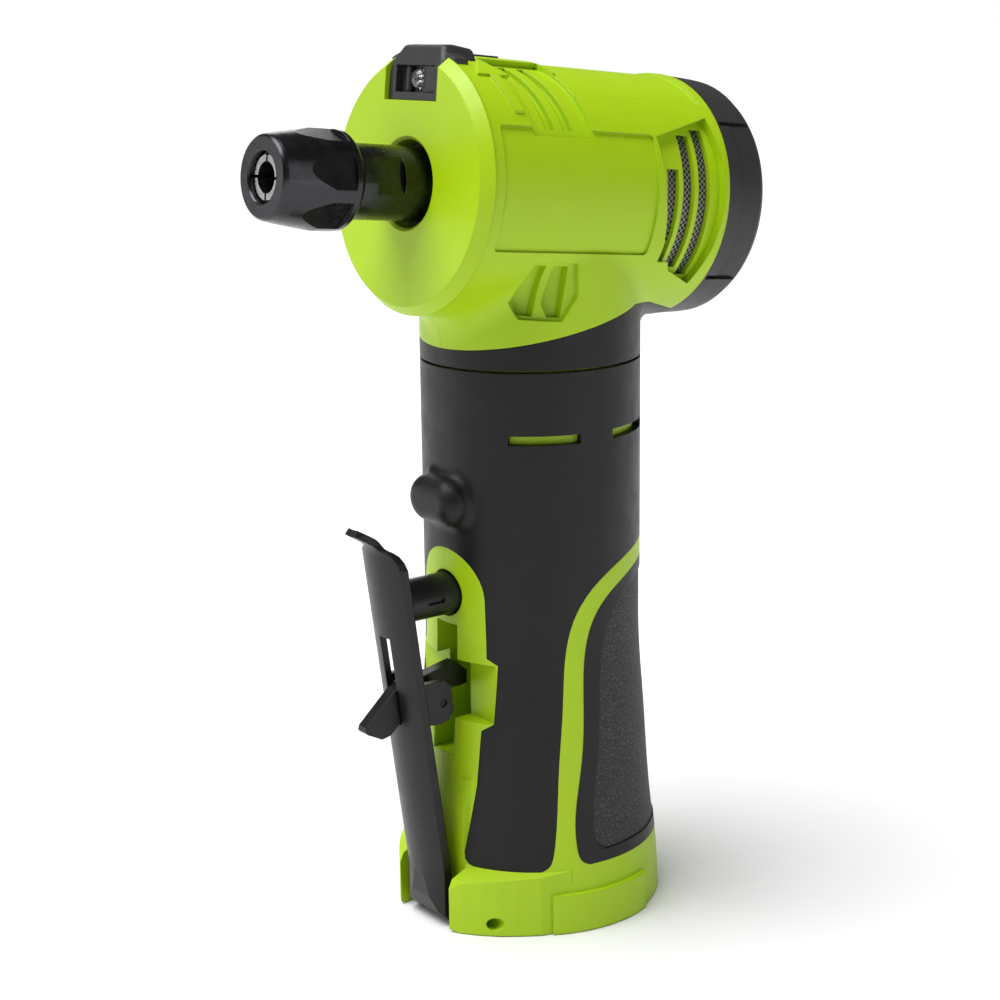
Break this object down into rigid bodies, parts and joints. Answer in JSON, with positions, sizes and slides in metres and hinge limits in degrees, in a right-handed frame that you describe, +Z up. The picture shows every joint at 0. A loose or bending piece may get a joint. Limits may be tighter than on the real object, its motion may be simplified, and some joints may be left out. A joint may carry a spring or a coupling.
{
  "type": "die grinder",
  "caption": "Cordless pistol-style die grinder with a collet, a lock-off paddle lever and an open battery socket.",
  "frame": {"origin": "centre of the battery socket's mouth, on the handle's axis", "axes": "+Z up the handle to the head, -Y forward to the collet, +X to the side opposite the screw heads"},
  "size_m": [0.0558, 0.1107, 0.1819],
  "materials": {
    "housing_plastic": "satin moulded lime green plastic",
    "black_plastic": "fine-grained moulded black plastic",
    "grip_rubber": "smooth matt black moulded rubber",
    "textured_rubber": "leather-grained charcoal rubber",
    "lever_plastic": "satin moulded black nylon",
    "lamp_lens": "clear moulded lens",
    "screen_mesh": "woven wire",
    "cast_alloy": "die cast, as machined",
    "felt": "pressed felt",
    "bearing_steel": "ground steel",
    "spring_steel": "drawn spring wire",
    "motor_laminations": "stacked electrical steel",
    "copper_wire": "enamelled copper wire",
    "circuit_board": "green solder mask",
    "magnets": "plated magnet",
    "fan_plastic": "moulded nylon",
    "black_steel": "black oxide on turned steel",
    "nickel_steel": "bright ground and nickel plated",
    "contact_brass": "tinned brass",
    "component_black": "moulded resin",
    "wire_sleeving": "insulated wire",
    "pin_steel": "ground pin",
    "screw_steel": "black coated screw"
  },
  "bodies": {
    "handpiece": {"housing_right": "housing_plastic", "housing_left": "housing_plastic", "nose_cover": "housing_plastic", "rear_cap": "black_plastic", "neck_collar": "grip_rubber", "grip_sleeve": "grip_rubber", "rear_grip_panel": "grip_rubber", "rear_grip_inlay": "textured_rubber", "light_housing": "black_plastic", "light_wire_cover": "black_plastic", "light_board": "component_black", "light_lens": "lamp_lens", "vent_screen_right": "screen_mesh", "vent_screen_left": "screen_mesh", "bearing_plate": "cast_alloy", "dust_seal": "felt", "front_bearing": "bearing_steel", "rear_bearing": "bearing_steel", "wave_spring": "spring_steel", "stator_core": "motor_laminations", "stator_windings": "copper_wire", "sensor_board": "circuit_board", "terminal_block": "black_plastic", "battery_contacts": "contact_brass", "control_board": "circuit_board", "power_transistors": "component_black", "heat_sink": "cast_alloy", "capacitor": "component_black", "switch_body": "component_black", "motor_wires": "wire_sleeving", "battery_wires": "wire_sleeving", "lever_pin": "pin_steel", "plunger_guide": "lever_plastic", "housing_screws": "screw_steel", "rear_cap_screws": "screw_steel"},
    "spindle": {"spindle": "black_steel", "rotor_core": "motor_laminations", "rotor_magnets": "magnets", "cooling_fan": "fan_plastic", "front_bearing_inner": "bearing_steel", "rear_bearing_inner": "bearing_steel"},
    "collet": {"collet": "nickel_steel"},
    "collet_nut": {"collet_nut": "black_steel"},
    "lever": {"lever": "lever_plastic", "lock_pin": "pin_steel", "lock_spring": "spring_steel"},
    "lock_tab": {"lock_tab": "lever_plastic"},
    "plunger": {"plunger": "lever_plastic", "switch_slider": "fan_plastic", "plunger_spring": "spring_steel"}
  },
  "joints": [
    {"name": "spindle_spin", "type": "hinge", "parent": "handpiece", "child": "spindle", "pos_m": [0, 0, 0.1525], "axis": [0, -0.9951, 0.0993], "continuous": true},
    {"name": "collet_travel", "type": "slide", "parent": "spindle", "child": "collet", "axis": [0, -0.9951, 0.0993], "range_m": [0, 0.002]},
    {"name": "collet_nut_turn", "type": "hinge", "parent": "collet", "child": "collet_nut", "pos_m": [0, -0.05473, 0.15796], "axis": [0, -0.9951, 0.0993], "range_deg": [0, 720]},
    {"name": "lever_press", "type": "hinge", "parent": "handpiece", "child": "lever", "pos_m": [0, -0.024, 0.0026], "axis": [-1, 0, 0], "range_deg": [0, 6], "stiffness_Nm_per_rad": 2, "springref_deg": -4.58},
    {"name": "lock_release", "type": "hinge", "parent": "lever", "child": "lock_tab", "pos_m": [0, -0.0284, 0.0496], "axis": [-1, 0, 0], "range_deg": [0, 60], "stiffness_Nm_per_rad": 0.01, "springref_deg": -17.19},
    {"name": "plunger_travel", "type": "slide", "parent": "handpiece", "child": "plunger", "axis": [0, 1, 0], "range_m": [0, 0.0073], "deforming": ["plunger_spring"]}
  ],
  "couplings": [
    {"joint": "plunger_travel", "follows": "lever_press", "m_per_rad": 0.068},
    {"joint": "collet_nut_turn", "follows": "collet_travel", "rad_per_m": 6283.2}
  ]
}
